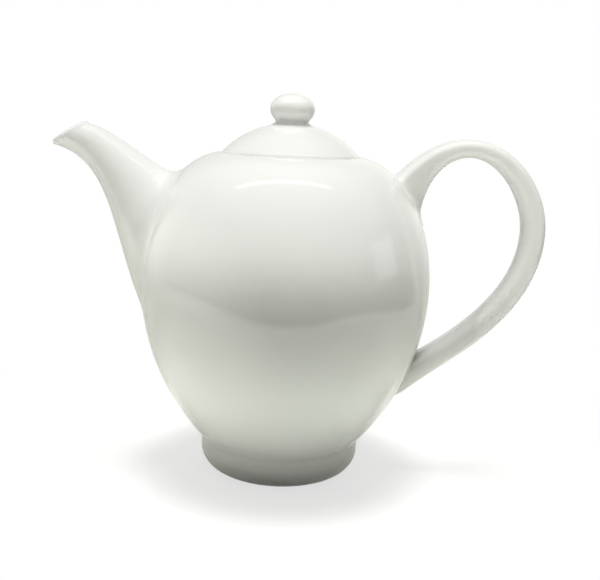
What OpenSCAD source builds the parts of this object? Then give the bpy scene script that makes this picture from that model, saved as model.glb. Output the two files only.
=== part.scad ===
// Porcelain teapot with a lift-out infuser basket under its lid, in millimetres.
// Z is up and the foot stands on z = 0; the spout points along -X, the handle along +X.
// Every round piece shares the Z axis. The spout and handle lie on the plane y = 0.

/* [Pot] */
// Radius of the belly at its widest
belly_r = 66; // [58:0.1:80]
// Height of the widest line of the belly
belly_z = 88.5; // [76:0.5:98]
// Height of the rim around the mouth
rim_z = 147; // [138:0.5:165]
// Thickness of the fired wall
pot_wall = 4.4; // [3.6:0.1:5.4]
// Outer radius of the foot ring
foot_r = 37; // [31:0.1:44]
// Height at which the foot meets the belly
foot_h = 16.2; // [13:0.2:20]
// Rounding under the outside of the foot
foot_round = 10.1; // [7:0.1:12]
// Width of the flat ring the pot stands on
stand_w = 4.2; // [3:0.1:6]
// Depth of the hollow under the foot
well_depth = 6.4; // [4:0.2:8]
// Thickness of the floor above that hollow
floor_t = 6; // [4:0.2:8]

/* [Mouth] */
// Radius of the clear throat
throat_r = 26.5; // [25.5:0.1:28]
// Width of the ledge that carries the basket
ledge_w = 4.5; // [3.5:0.1:6]
// Depth of the ledge below the rim
ledge_depth = 3.2; // [2.4:0.1:4]
// Thickness of the clay under the ledge
ledge_t = 4.4; // [3.5:0.1:6]
// Width of the rim outside the ledge
rim_w = 1.6; // [1.2:0.1:3]

/* [Strainer] */
// Diameter of one strainer hole behind the spout
strain_d = 6; // [4:0.1:6.6]
// Spacing of the strainer holes
strain_pitch = 9; // [8:0.1:11]
// Drop of the middle strainer hole below the middle of the spout's root
strain_drop = 2; // [0:0.5:6]

/* [Spout] */
// Half width of the spout where it leaves the belly
spout_root_w = 21; // [17:0.2:24]
// Half width of the spout at its lip
spout_lip_w = 6.6; // [6:0.1:9]
// Wall of the spout at the belly
spout_wall = 3.4; // [2.8:0.1:4.2]
// Wall of the spout at the lip
spout_lip_wall = 2.5; // [2:0.1:3]
// Reach of the pouring lip out from the belly
lip_reach = 40.2; // [34:0.2:48]
// Height of the pouring lip above the rim
lip_rise = 0; // [-2:0.5:6]
// Reach of the upper heel of the mouth out from the belly
heel_reach = 24.4; // [20:0.2:30]
// Height of the upper heel of the mouth above the rim
heel_rise = 9.8; // [6:0.2:15]

/* [Handle] */
// Reach of the handle's middle line out from the belly
handle_reach = 46.4; // [38:0.2:54]
// Drop of that farthest point below the rim
handle_drop = 31; // [25:0.5:37]
// Rise of the loop's pull above the rim
loop_rise = 30; // [24:0.5:36]
// Height of the lower root's middle above the foot
tail_rise = 28.8; // [22:0.2:36]
// Width of the strap, across the pot
strap_w = 16; // [12:0.2:19]
// Thickness of the strap over the top of the loop
strap_t = 8.2; // [7:0.1:10]
// Thickness of the strap down the grip
grip_t = 10.2; // [8.5:0.1:12]
// Squareness of the strap section
strap_square = 2.8; // [2:0.1:4]
// Extra clay under the upper root
root_fillet = 13; // [8:0.5:15]
// Extra clay round the lower root
tail_fillet = 1.5; // [1:0.5:4]
// Extra clay under the outer face of the lower root
tail_heel = 1.2; // [0:0.1:4]

/* [Lid] */
// Gap between the lid edge and the mouth
lid_gap = 0.7; // [0.4:0.1:1.2]
// Radius of the dome
dome_r = 42; // [38:0.5:46]
// Wall of the lid
lid_wall = 4; // [3:0.1:5]
// Height of the lid's edge
lid_edge_h = 3.2; // [2.4:0.1:4.4]
// Depth of the skirt below the edge
skirt_h = 8; // [5:0.5:11]
// Thickness of the skirt
skirt_t = 3; // [2.4:0.1:3.6]
// Diameter of the steam vent
vent_d = 3.2; // [2.6:0.1:4]
// Distance of the vent from the axis
vent_r = 15.5; // [13:0.5:17]

/* [Knob] */
// Radius of the knob
knob_r = 10; // [8.5:0.1:12]
// Radius of the knob's neck
knob_neck_r = 7.6; // [6.4:0.1:8.6]
// Height of the neck
knob_neck_h = 2; // [1:0.1:3]
// Height of the underside of the button
knob_low_h = 5; // [4:0.1:6.5]
// Height of the crown of the button
knob_top_h = 6.8; // [5:0.1:8]

/* [Infuser] */
// Gap between the steel rim and the mouth
rim_gap = 0.6; // [0.4:0.1:1]
// Thickness of the steel rim
steel_rim_t = 0.8; // [0.6:0.1:1.2]
// Depth of the collar below the rim
collar_h = 5; // [3:0.5:8]
// Thickness of the collar
collar_t = 0.7; // [0.5:0.1:0.9]
// Thickness of the basket's sheet
sheet_t = 0.5; // [0.4:0.1:0.7]
// Gap between the basket wall and the lid's skirt
skirt_gap = 0.7; // [0.4:0.1:1]
// Depth of the basket below the rim
basket_h = 78; // [60:1:90]
// Height of the base's upturned edge
base_edge = 5; // [4:0.5:7]
// Diameter of one hole in the basket wall
mesh_d = 2; // [1.4:0.1:2.4]
// Rows of holes in the basket wall
mesh_rows = 11; // [6:1:12]
// Holes in one row
mesh_count = 28; // [18:1:34]
// Spacing of the rows
mesh_pitch = 5; // [4:0.1:6]
// Diameter of one hole in the base
base_hole_d = 2.2; // [1.6:0.1:3]
// Spacing of the holes in the base
base_pitch = 4.6; // [4:0.1:6]
// Rings of holes around the middle of the base
base_rings = 4; // [2:1:4]

/* [Fits] */
// Joint left for slip where clay is luted to clay
slip_gap = 0.2; // [0.15:0.05:0.3]
// Gap left where steel is welded to steel
weld_gap = 0.06; // [0.04:0.01:0.1]

/* [Hidden] */
$fn = 96;
porcelain = [0.94, 0.94, 0.92];
steel = [0.72, 0.72, 0.71];

belly_rise = belly_z - foot_h;
shoulder_rise = rim_z - belly_z;
ledge_r = throat_r + ledge_w;
ledge_z = rim_z - ledge_depth;
rim_r = ledge_r + rim_w;
floor_z = well_depth + floor_t;
bore_foot_r = foot_r - 1.25 * pot_wall;
foot_lean = 44.7;
stand_out = foot_r - foot_round;
stand_in = stand_out - stand_w;
lid_r = ledge_r - lid_gap;
lid_z = ledge_z + steel_rim_t;
edge_z = lid_z + lid_edge_h;
dome_edge_r = lid_r - 0.8;
dome_c = edge_z + 0.8 - sqrt(dome_r * dome_r - dome_edge_r * dome_edge_r);
pad_r = knob_neck_r + 0.4;
pad_z = dome_c + sqrt(dome_r * dome_r - pad_r * pad_r);
skirt_r = throat_r - 2.9;
wall_in = skirt_r + skirt_gap;
wall_out = wall_in + sheet_t;
collar_in = wall_out + weld_gap;
base_z = ledge_z - basket_h;

// A cubic curve through four control points, at t from 0 to 1.
function curve(c, t) =
    let (u = 1 - t)
    u * u * u * c[0] + 3 * u * u * t * c[1] + 3 * u * t * t * c[2] + t * t * t * c[3];
function along(c, n, first = 0) = [for (i = [first:n]) curve(c, i / n)];
function turned(list) = [for (i = [len(list) - 1:-1:0]) list[i]];
function arc(centre, r, from, to, n) =
    [for (i = [0:n]) let (a = from + (to - from) * i / n) centre + r * [cos(a), sin(a)]];
function ease(x) = let (t = max(0, min(1, x))) t * t * (3 - 2 * t);

// Outside of the pot, from the foot up to the belly and from the belly up to the rim.
low_skin = [
    [foot_r, foot_h],
    [foot_r, foot_h] + 0.226 * belly_rise * [sin(foot_lean), cos(foot_lean)],
    [belly_r, belly_z - 0.473 * belly_rise],
    [belly_r, belly_z]
];
high_skin = [
    [belly_r, belly_z],
    [belly_r, belly_z + 0.567 * shoulder_rise],
    [rim_r, rim_z] + 0.295 * shoulder_rise * [cos(9.5), -sin(9.5)],
    [rim_r, rim_z]
];

// Inside of the pot, from the throat down to the belly and from the belly to the foot.
high_bore = [
    [throat_r, ledge_z - ledge_t],
    [throat_r, ledge_z - ledge_t] + 0.4 * shoulder_rise * [cos(9), -sin(9)],
    [belly_r - pot_wall, belly_z + 0.52 * shoulder_rise],
    [belly_r - pot_wall, belly_z]
];
low_bore = [
    [belly_r - pot_wall, belly_z],
    [belly_r - pot_wall, belly_z - 0.47 * belly_rise],
    [bore_foot_r, foot_h] + 0.25 * belly_rise * [sin(foot_lean), cos(foot_lean)],
    [bore_foot_r, foot_h]
];

// Radius of the outside of the pot at a height, found by halving.
function height_t(c, z, lo = 0, hi = 1, n = 18) =
    let (mid = (lo + hi) / 2)
    n == 0 ? mid : curve(c, mid)[1] < z ? height_t(c, z, mid, hi, n - 1) : height_t(c, z, lo, mid, n - 1);
function skin_r(z) = let (c = z < belly_z ? low_skin : high_skin) curve(c, height_t(c, z))[0];
function clear_of_pot(p) = norm([p[0], p[1]]) - skin_r(p[2]) - slip_gap;

// The pot's clay, parted flat at the top of the foot and at the widest line of the belly.
module pot_foot() {
    color(porcelain)
    rotate_extrude()
    polygon(concat(
        [[0, well_depth], [stand_in - 2.5, well_depth], [stand_in - 0.6, 0.8], [stand_in, 0]],
        arc([stand_out, foot_round], foot_round, -90, 0, 8),
        [[foot_r, foot_h], [bore_foot_r, foot_h], [bore_foot_r - 1.4, floor_z + 0.9]],
        [[bore_foot_r - 4, floor_z], [0, floor_z - 0.6]]
    ));
}

module pot_belly() {
    color(porcelain)
    rotate_extrude()
    polygon(concat(along(low_skin, 16), along(low_bore, 12)));
}

module pot_shoulder() {
    color(porcelain)
    difference() {
        rotate_extrude()
        polygon(concat(
            along(high_skin, 16),
            [[ledge_r + 0.7, rim_z - 0.1], [ledge_r, rim_z - 0.8], [ledge_r, ledge_z], [throat_r, ledge_z]],
            along(high_bore, 12)
        ));
        for (i = [0:6]) {
            step = i == 0 ? 0 : strain_pitch;
            translate([0, step * cos(60 * i), strain_z + step * sin(60 * i)])
            rotate([0, -90, 0])
            cylinder(d = strain_d, h = belly_r + 5, $fn = 32);
        }
    }
}

// The spout is drawn between its lower and upper edge curves on the plane y = 0.
spout_low = [
    [4 - skin_r(belly_z - 28), belly_z - 28],
    [-belly_r - 14.5, belly_z + 3.5],
    [-belly_r - 8.5, rim_z - 6.5],
    [-belly_r - lip_reach, rim_z + lip_rise]
];
spout_top = [
    [11 - skin_r(rim_z - 17), rim_z - 17],
    [2 - belly_r, rim_z - 5],
    [-belly_r - 16.5, rim_z + 9],
    [-belly_r - heel_reach, rim_z + heel_rise]
];
root_top_z = spout_point(spout_root(0, 1), 0, 1)[2];
root_low_z = spout_point(spout_root(180, 1), 180, 1)[2];
strain_z = (root_top_z + root_low_z) / 2 - strain_drop;
spout_turns = 36;
spout_steps = 20;
function spout_half(s) = curve([spout_root_w, spout_root_w - 4, spout_lip_w + 1, spout_lip_w], s);
function spout_inset(s) = spout_wall + (spout_lip_wall - spout_wall) * s;
function spout_point(s, a, inset) =
    let (low = curve(spout_low, s), top = curve(spout_top, s))
    let (middle = (low + top) / 2, reach = (top - low) / 2)
    let (k = (norm(reach) - inset * spout_inset(s)) / norm(reach))
    let (half = spout_half(s) - inset * spout_inset(s))
    [middle[0] + reach[0] * k * cos(a), half * sin(a), middle[1] + reach[1] * k * cos(a)];
function spout_root(a, inset, lo = 0, hi = 0.7, n = 18) =
    let (mid = (lo + hi) / 2)
    n == 0 ? mid
    : clear_of_pot(spout_point(mid, a, inset)) < 0 ? spout_root(a, inset, mid, hi, n - 1)
    : spout_root(a, inset, lo, mid, n - 1);

module spout() {
    angles = [for (j = [0:spout_turns - 1]) 360 * j / spout_turns];
    roots_out = [for (a = angles) spout_root(a, 0)];
    roots_in = [for (a = angles) spout_root(a, 1)];
    mouth = curve(spout_top, 1) - curve(spout_low, 1);
    facing = [-mouth[1], 0, mouth[0]] / norm(mouth);
    outer = [for (i = [0:spout_steps]) [for (j = [0:spout_turns - 1])
        spout_point(roots_out[j] + (1 - roots_out[j]) * i / spout_steps, angles[j], 0)]];
    lip = [for (i = [1:3]) [for (a = angles)
        spout_point(1, a, (1 - cos(45 * i)) / 2) + facing * sin(45 * i) * spout_lip_wall * 0.4]];
    inner = [for (i = [0:spout_steps]) [for (j = [0:spout_turns - 1])
        spout_point(1 - (1 - roots_in[j]) * i / spout_steps, angles[j], 1)]];
    rings = concat(outer, lip, inner);
    points = [for (ring = rings) each ring];
    n = spout_turns;
    faces = [for (r = [0:len(rings) - 1]) for (j = [0:n - 1])
        let (next = (r + 1) % len(rings), k = (j + 1) % n)
        each [[r * n + j, next * n + j, next * n + k], [r * n + j, next * n + k, r * n + k]]];
    color(porcelain) polyhedron(points, faces);
}

// The handle's middle line: over the top of the loop, then down the grip.
far_point = [belly_r + handle_reach, rim_z - handle_drop];
tail_z = foot_h + tail_rise;
loop_line = [
    [skin_r(rim_z - 17.5) - 10, rim_z - 17.5],
    [belly_r + 13, rim_z + loop_rise],
    far_point + [0, 27],
    far_point
];
grip_line = [
    far_point,
    far_point - [0, 32],
    [belly_r + 16.5, tail_z + 17.2],
    [skin_r(tail_z) - 3.6, tail_z]
];
strap_turns = 28;
strap_steps = 44;
// The grip runs on straight past its end, so that every line of the strap reaches the pot.
strap_end = 1.1;
function strap_middle(s) = s < 0.5 ? curve(loop_line, 2 * s)
    : s <= 1 ? curve(grip_line, 2 * s - 1)
    : grip_line[3] + 6 * (s - 1) * (grip_line[3] - grip_line[2]);
function strap_side(s) =
    let (d = strap_middle(s + 0.001) - strap_middle(max(0, s - 0.001)))
    [-d[1], d[0]] / norm(d);
function power(v, e) = sign(v) * pow(abs(v), 2 / e);
function strap_point(s, a, size) =
    let (middle = strap_middle(s), side = strap_side(s))
    let (half = (strap_t + (grip_t - strap_t) * ease((s - 0.18) / 0.25)) / 2)
    let (under = root_fillet * pow(max(0, 1 - s / 0.22), 3))
    let (tail = pow(max(0, min(1, (s - 0.86) / 0.14)), 2))
    let (grow = tail_fillet * tail + (cos(a) < 0 ? under : tail_heel * tail))
    let (thick = size * (half + grow) * power(cos(a), strap_square))
    let (breadth = strap_w / 2 + 0.25 * under + 0.5 * tail_fillet * tail)
    let (wide = size * breadth * power(sin(a), strap_square))
    [middle[0] + side[0] * thick, wide, middle[1] + side[1] * thick];
function strap_cut(a, size, lo, hi, n = 18) =
    let (mid = (lo + hi) / 2)
    n == 0 ? mid
    : clear_of_pot(strap_point(mid, a, size)) < 0 ? strap_cut(a, size, mid, hi, n - 1)
    : strap_cut(a, size, lo, mid, n - 1);

module handle() {
    n = strap_turns;
    angles = [for (j = [0:n - 1]) 360 * (j + 0.5) / n];
    starts = [for (a = angles) strap_cut(a, 1, 0, 0.3)];
    ends = [for (a = angles) strap_cut(a, 1, strap_end, 0.7)];
    rings = [for (i = [0:strap_steps]) [for (j = [0:n - 1])
        strap_point(starts[j] + (ends[j] - starts[j]) * i / strap_steps, angles[j], 1)]];
    caps = [0.25, 0.5, 0.75];
    start_caps = [for (size = caps) [for (a = angles)
        strap_point(strap_cut(a, size, 0, 0.3), a, size)]];
    end_caps = [for (size = turned(caps)) [for (a = angles)
        strap_point(strap_cut(a, size, strap_end, 0.7), a, size)]];
    all_rings = concat(start_caps, rings, end_caps);
    hub_start = strap_point(strap_cut(0, 0, 0, 0.3), 0, 0);
    hub_end = strap_point(strap_cut(0, 0, strap_end, 0.7), 0, 0);
    points = concat([for (ring = all_rings) each ring], [hub_start, hub_end]);
    last = len(all_rings) - 1;
    sides = [for (r = [0:last - 1]) for (j = [0:n - 1])
        let (k = (j + 1) % n)
        each [[r * n + j, (r + 1) * n + k, (r + 1) * n + j], [r * n + j, r * n + k, (r + 1) * n + k]]];
    first_cap = [for (j = [0:n - 1]) [len(points) - 2, (j + 1) % n, j]];
    last_cap = [for (j = [0:n - 1]) [len(points) - 1, last * n + j, last * n + (j + 1) % n]];
    color(porcelain) polyhedron(points, concat(sides, first_cap, last_cap));
}

module lid() {
    inner_r = dome_r - lid_wall;
    skirt_in = skirt_r - skirt_t;
    edge_a = acos(dome_edge_r / dome_r);
    pad_a = acos(pad_r / dome_r);
    root_a = acos(skirt_in / inner_r);
    color(porcelain)
    difference() {
        rotate_extrude()
        polygon(concat(
            [[skirt_r, lid_z], [lid_r - 0.5, lid_z], [lid_r, lid_z + 0.5], [lid_r, edge_z]],
            arc([0, dome_c], dome_r, edge_a, pad_a, 20),
            [[0, pad_z]],
            turned(arc([0, dome_c], inner_r, root_a, 90, 14)),
            [[skirt_in, lid_z - skirt_h + 0.8], [skirt_in + 0.8, lid_z - skirt_h]],
            [[skirt_r - 0.8, lid_z - skirt_h], [skirt_r, lid_z - skirt_h + 0.8]]
        ));
        translate([0, vent_r, lid_z])
        cylinder(d = vent_d, h = dome_r, $fn = 32);
    }
}

module lid_knob() {
    neck_z = pad_z + knob_neck_h;
    wide_z = neck_z + knob_low_h;
    color(porcelain)
    rotate_extrude()
    polygon(concat(
        [[0, pad_z], [knob_neck_r, pad_z], [knob_neck_r - 0.3, pad_z + knob_neck_h / 2]],
        along([
            [knob_neck_r, neck_z],
            [knob_r - 0.9, neck_z + 1.6],
            [knob_r, wide_z - 2.2],
            [knob_r, wide_z]
        ], 10),
        along([
            [knob_r, wide_z],
            [knob_r, wide_z + knob_top_h * 0.56],
            [knob_r * 0.56, wide_z + knob_top_h],
            [0, wide_z + knob_top_h]
        ], 14, 1)
    ));
}

module infuser_rim() {
    edge_r = ledge_r - rim_gap;
    color(steel)
    rotate_extrude()
    polygon([
        [collar_in, ledge_z - collar_h],
        [collar_in + collar_t, ledge_z - collar_h],
        [collar_in + collar_t, ledge_z],
        [edge_r, ledge_z],
        [edge_r, lid_z],
        [collar_in, lid_z]
    ]);
}

module infuser_wall() {
    top_z = lid_z - 0.1;
    first_z = base_z + base_edge + mesh_d / 2 + 4;
    color(steel)
    difference() {
        rotate_extrude()
        polygon([[wall_in, base_z], [wall_out, base_z], [wall_out, top_z], [wall_in, top_z]]);
        for (row = [0:mesh_rows - 1])
        for (i = [0:mesh_count - 1])
        rotate([0, 0, 360 * (i + 0.5 * (row % 2)) / mesh_count])
        translate([wall_in - 1, 0, first_z + row * mesh_pitch])
        rotate([0, 90, 0])
        cylinder(d = mesh_d, h = sheet_t + 2, $fn = 16);
    }
}

module infuser_base() {
    edge_r = wall_in - weld_gap;
    color(steel)
    difference() {
        rotate_extrude()
        polygon([
            [0, base_z],
            [edge_r - 1, base_z],
            [edge_r, base_z + 1],
            [edge_r, base_z + base_edge],
            [edge_r - sheet_t, base_z + base_edge],
            [edge_r - sheet_t, base_z + 1.2],
            [edge_r - 1.2, base_z + sheet_t],
            [0, base_z + sheet_t]
        ]);
        for (q = [-base_rings:base_rings])
        for (r = [max(-base_rings, -q - base_rings):min(base_rings, -q + base_rings)])
        translate([base_pitch * (q + r / 2), base_pitch * r * sqrt(3) / 2, base_z - 1])
        cylinder(d = base_hole_d, h = sheet_t + 2, $fn = 16);
    }
}

pot_foot();
pot_belly();
pot_shoulder();
spout();
handle();
lid();
lid_knob();
infuser_rim();
infuser_wall();
infuser_base();
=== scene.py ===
"""Glazed porcelain teapot with a lift-out steel infuser basket, dressed for rendering.

Shapes are worked out in millimetres and become metres when a mesh is finished. Every piece
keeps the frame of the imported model: Z up, the foot on z = 0, spout to -X and handle to +X.
"""
import logging
import math
from dataclasses import dataclass
from enum import Enum
from typing import Any, Callable, Iterable, Sequence, Union

import bmesh
import bpy
from mathutils import Matrix, Vector


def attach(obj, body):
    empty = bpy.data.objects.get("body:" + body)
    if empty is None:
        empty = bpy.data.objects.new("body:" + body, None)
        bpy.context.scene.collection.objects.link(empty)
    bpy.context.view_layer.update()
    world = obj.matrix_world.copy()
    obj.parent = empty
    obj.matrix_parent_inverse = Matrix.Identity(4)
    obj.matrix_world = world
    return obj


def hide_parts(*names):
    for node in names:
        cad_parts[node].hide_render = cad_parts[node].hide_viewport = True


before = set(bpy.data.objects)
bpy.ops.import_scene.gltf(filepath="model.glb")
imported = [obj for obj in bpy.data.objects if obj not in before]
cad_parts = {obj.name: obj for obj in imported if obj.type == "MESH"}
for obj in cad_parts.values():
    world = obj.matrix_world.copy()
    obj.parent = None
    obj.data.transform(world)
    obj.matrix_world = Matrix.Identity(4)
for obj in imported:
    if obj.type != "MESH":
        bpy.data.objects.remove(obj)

MM = 0.001
PER_M = 1000.0
LOG = logging.getLogger("teapot")
Curve = Sequence[Vector]
Number = Union[int, float]


class Body(Enum):
    """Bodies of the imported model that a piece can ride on."""

    POT = "pot"
    INFUSER = "infuser"
    LID = "lid"


class Slot(Enum):
    """Material slots of the record."""

    PORCELAIN = "porcelain"
    STEEL = "steel"


class Brushing(Enum):
    """Which way the fine scratches of a steel sheet run."""

    AROUND = "around"
    ACROSS = "across"


# Curves


def bezier(curve: Curve, t: float) -> Vector:
    """Give the point of a cubic curve.

    Args:
        curve: four control points.
        t: place along the curve, 0 to 1.

    Returns:
        The point at t.
    """
    u = 1.0 - t
    a, b, c, d = curve
    return a * (u * u * u) + b * (3 * u * u * t) + c * (3 * u * t * t) + d * (t * t * t)


def along(curve: Curve, count: int, first: int = 0) -> list[Vector]:
    """Sample a cubic curve evenly in its parameter.

    Args:
        curve: four control points.
        count: number of steps.
        first: step to start from.

    Returns:
        The points from that step to the end.
    """
    return [bezier(curve, i / count) for i in range(first, count + 1)]


def arc(
    centre: tuple[float, float], radius: float, start: float, stop: float, count: int
) -> list[Vector]:
    """Sample a circular arc on the outline plane.

    Args:
        centre: middle of the circle as (r, z).
        radius: radius of the circle.
        start: first angle in degrees.
        stop: last angle in degrees.
        count: number of steps.

    Returns:
        The points from start to stop.
    """
    points = []
    for i in range(count + 1):
        angle = math.radians(start + (stop - start) * i / count)
        out, up = radius * math.cos(angle), radius * math.sin(angle)
        points.append(Vector((centre[0] + out, centre[1] + up)))
    return points


def halve(test: Callable[[float], bool], low: float, high: float, rounds: int = 22) -> float:
    """Find where a test changes from true to false.

    Args:
        test: true at low, false at high.
        low: end where the test holds.
        high: end where it fails.
        rounds: number of halvings.

    Returns:
        The place of the change.
    """
    for _ in range(rounds):
        middle = 0.5 * (low + high)
        if test(middle):
            low = middle
        else:
            high = middle
    return 0.5 * (low + high)


def ease(x: float) -> float:
    """Give a smooth step from 0 to 1."""
    t = min(1.0, max(0.0, x))
    return t * t * (3.0 - 2.0 * t)


# Shader wiring


class Wire:
    """A node's output that takes part in Python arithmetic."""

    def __init__(self, shader: "Shader", socket: bpy.types.NodeSocket) -> None:
        """Keep the shader that owns the socket."""
        self.shader = shader
        self.socket = socket

    def sibling(self, out: Union[int, str]) -> "Wire":
        """Give another output of the same node."""
        return Wire(self.shader, self.socket.node.outputs[out])

    def _math(self, operation: str, first: Any, second: Any) -> "Wire":
        """Add a Math node for two values."""
        return self.shader.node("ShaderNodeMath", {"operation": operation}, {0: first, 1: second})

    def __add__(self, other: Any) -> "Wire":
        """Give self + other."""
        return self._math("ADD", self, other)

    def __radd__(self, other: Any) -> "Wire":
        """Give other + self."""
        return self._math("ADD", other, self)

    def __sub__(self, other: Any) -> "Wire":
        """Give self - other."""
        return self._math("SUBTRACT", self, other)

    def __rsub__(self, other: Any) -> "Wire":
        """Give other - self."""
        return self._math("SUBTRACT", other, self)

    def __mul__(self, other: Any) -> "Wire":
        """Give self * other."""
        return self._math("MULTIPLY", self, other)

    def __rmul__(self, other: Any) -> "Wire":
        """Give other * self."""
        return self._math("MULTIPLY", other, self)

    def __pow__(self, other: Any) -> "Wire":
        """Give self to a power."""
        return self._math("POWER", self, other)

    def at_least(self, other: Any) -> "Wire":
        """Give the larger of two values."""
        return self._math("MAXIMUM", self, other)

    def below(self, edge: Number, blur: Number) -> "Wire":
        """Give 1 below an edge and 0 above it, with a soft change.

        Args:
            edge: value at the middle of the change.
            blur: half of the change's width.

        Returns:
            The share, 0 to 1.
        """
        span = {"From Min": edge - blur, "From Max": edge + blur, "To Min": 1.0, "To Max": 0.0}
        soft = {"interpolation_type": "SMOOTHSTEP"}
        return self.shader.node("ShaderNodeMapRange", soft, {"Value": self, **span})


class Shader:
    """A node tree that is filled by one method."""

    def __init__(self, owner: Union[bpy.types.Material, bpy.types.World]) -> None:
        """Start with an empty tree.

        Args:
            owner: the material or world whose nodes are made anew.
        """
        owner.use_nodes = True
        self.tree = owner.node_tree
        self.tree.nodes.clear()

    def node(
        self, kind: str, settings: dict[str, Any], inputs: dict[Any, Any], out: Union[int, str] = 0
    ) -> Wire:
        """Add a node.

        Args:
            kind: the node's type name.
            settings: properties set before the sockets.
            inputs: values or wires by socket name or number.
            out: output to hand back.

        Returns:
            The chosen output.
        """
        made = self.tree.nodes.new(kind)
        for name, value in settings.items():
            setattr(made, name, value)
        for name, value in inputs.items():
            if isinstance(value, Wire):
                self.tree.links.new(value.socket, made.inputs[name])
            else:
                made.inputs[name].default_value = value
        return Wire(self, made.outputs[out]) if len(made.outputs) else Wire(self, made.inputs[0])

    def blend(self, factor: Any, first: Any, second: Any) -> Wire:
        """Mix two colours.

        Args:
            factor: share of the second colour.
            first: colour or wire.
            second: colour or wire.

        Returns:
            The mixed colour.
        """
        pair = [value if isinstance(value, Wire) else (*value, 1.0) for value in (first, second)]
        return self.node("ShaderNodeMix", {"data_type": "RGBA"}, {0: factor, 6: pair[0], 7: pair[1]}, 2)

    def place(self) -> Wire:
        """Give the object's own coordinates."""
        return self.node("ShaderNodeTexCoord", {}, {}, "Object")

    def parts(self, vector: Wire) -> tuple[Wire, Wire, Wire]:
        """Split a vector into its three numbers."""
        split = self.node("ShaderNodeSeparateXYZ", {}, {0: vector})
        return split, split.sibling(1), split.sibling(2)

    def noise(self, vector: Wire, scale: float, detail: float = 2.0, roughness: float = 0.5) -> Wire:
        """Add a noise texture around 0.5.

        Args:
            vector: where the noise is read.
            scale: features per metre.
            detail: number of finer layers.
            roughness: weight of the finer layers.

        Returns:
            The noise value.
        """
        inputs = {"Vector": vector, "Scale": scale, "Detail": detail, "Roughness": roughness}
        return self.node("ShaderNodeTexNoise", {}, inputs)

    def bump(self, height: Wire, distance: float, strength: float = 1.0) -> Wire:
        """Turn a height into a surface normal."""
        inputs = {"Strength": strength, "Distance": distance, "Height": height}
        return self.node("ShaderNodeBump", {}, inputs)


# Finishes


@dataclass(frozen=True)
class Glaze:
    """Clear glossy glaze over white porcelain.

    The marks are rings around Z, as (r, z, width) in millimetres, where the glaze has run thin
    over an edge or gathered in a corner. The darker rings in corners are pooled glaze tint with painted
    shade.
    """

    white: tuple[float, float, float] = (0.845, 0.85, 0.825)
    cool: tuple[float, float, float] = (0.81, 0.825, 0.805)
    thin: tuple[float, float, float] = (0.86, 0.845, 0.80)
    # Pooled glaze tint with painted shade, for the darker rings in corners and creases
    pooled_and_shade: tuple[float, float, float] = (0.74, 0.765, 0.735)
    bare: tuple[float, float, float] = (0.77, 0.745, 0.69)
    speck: tuple[float, float, float] = (0.42, 0.37, 0.30)
    thin_rings: tuple[tuple[float, float, float], ...] = ()
    pooled_and_shade_rings: tuple[tuple[float, float, float], ...] = ()
    thin_share: float = 0.55
    pooled_and_shade_share: float = 0.6
    bare_below: float = -1.0
    cloud_scale: float = 22.0
    grain_scale: float = 420.0
    speck_cells: float = 95.0
    speck_chance: float = 0.035
    speck_r: float = 0.016
    speck_share: float = 0.6
    gloss: float = 0.07
    gloss_range: float = 0.05
    gloss_scale: float = 60.0
    coat_gloss: float = 0.035
    refraction: float = 1.5
    body_shine: float = 0.3
    peel_scales: tuple[float, float] = (85.0, 330.0)
    peel_depth: float = 0.00005
    sand_scale: float = 1600.0
    sand_gloss: float = 0.6

    @staticmethod
    def _ring(radius: Wire, height: Wire, ring: tuple[float, float, float]) -> Wire:
        """Give a soft mask around one ring, from wires in millimetres."""
        away = ((radius - ring[0]) ** 2.0 + (height - ring[1]) ** 2.0) ** 0.5
        return away.below(ring[2] * 0.6, ring[2] * 0.6)

    def material(self, name: str) -> bpy.types.Material:
        """Build the material.

        Args:
            name: name of the material.

        Returns:
            The finished material.
        """
        made = bpy.data.materials.new(name)
        sh = Shader(made)
        spot = sh.place()
        x, y, z = sh.parts(spot)
        radius = ((x * x + y * y) ** 0.5) * PER_M
        height = z * PER_M
        cloud = sh.noise(spot, self.cloud_scale, 3.0)
        grain = sh.noise(spot, self.grain_scale, 2.0)
        colour = sh.blend((cloud - 0.35) * 1.6 + (grain - 0.5) * 0.35, self.white, self.cool)
        for ring in self.thin_rings:
            colour = sh.blend(self._ring(radius, height, ring) * self.thin_share, colour, self.thin)
        # Darker rings in corners and creases: pooled glaze tint with painted shade
        for ring in self.pooled_and_shade_rings:
            colour = sh.blend(self._ring(radius, height, ring) * self.pooled_and_shade_share, colour, self.pooled_and_shade)
        grid = {"Vector": spot, "Scale": self.speck_cells, "Randomness": 1.0}
        cells = sh.node("ShaderNodeTexVoronoi", {"feature": "F1"}, grid, "Distance")
        chosen = sh.parts(cells.sibling("Color"))[0].below(self.speck_chance, 0.004)
        specks = cells.below(self.speck_r, 0.006) * chosen
        colour = sh.blend(specks * self.speck_share, colour, self.speck)
        gloss = self.gloss + sh.noise(spot, self.gloss_scale, 3.0) * self.gloss_range
        coat: Any = 1.0
        broad, tight = (sh.noise(spot, scale, 1.0) for scale in self.peel_scales)
        peel = broad * 0.8 + tight * 0.2
        if self.bare_below > 0.0:
            raw = (height + (sh.noise(spot, 140.0) - 0.5) * 0.8).below(self.bare_below, 0.18)
            sand = sh.noise(spot, self.sand_scale, 3.0)
            colour = sh.blend(raw * (0.75 + sand * 0.25), colour, self.bare)
            gloss = gloss + raw * self.sand_gloss
            coat = 1.0 - raw
            peel = peel + raw * sand * 0.9
        normal = sh.bump(peel, self.peel_depth, 0.5)
        surface = sh.node(
            "ShaderNodeBsdfPrincipled",
            {},
            {
                "Base Color": colour,
                "Roughness": gloss,
                "IOR": self.refraction,
                "Specular IOR Level": self.body_shine,
                "Coat Weight": coat,
                "Coat Roughness": self.coat_gloss,
                "Coat IOR": self.refraction,
                "Normal": normal,
            },
        )
        sh.node("ShaderNodeOutputMaterial", {}, {"Surface": surface})
        return made


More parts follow.
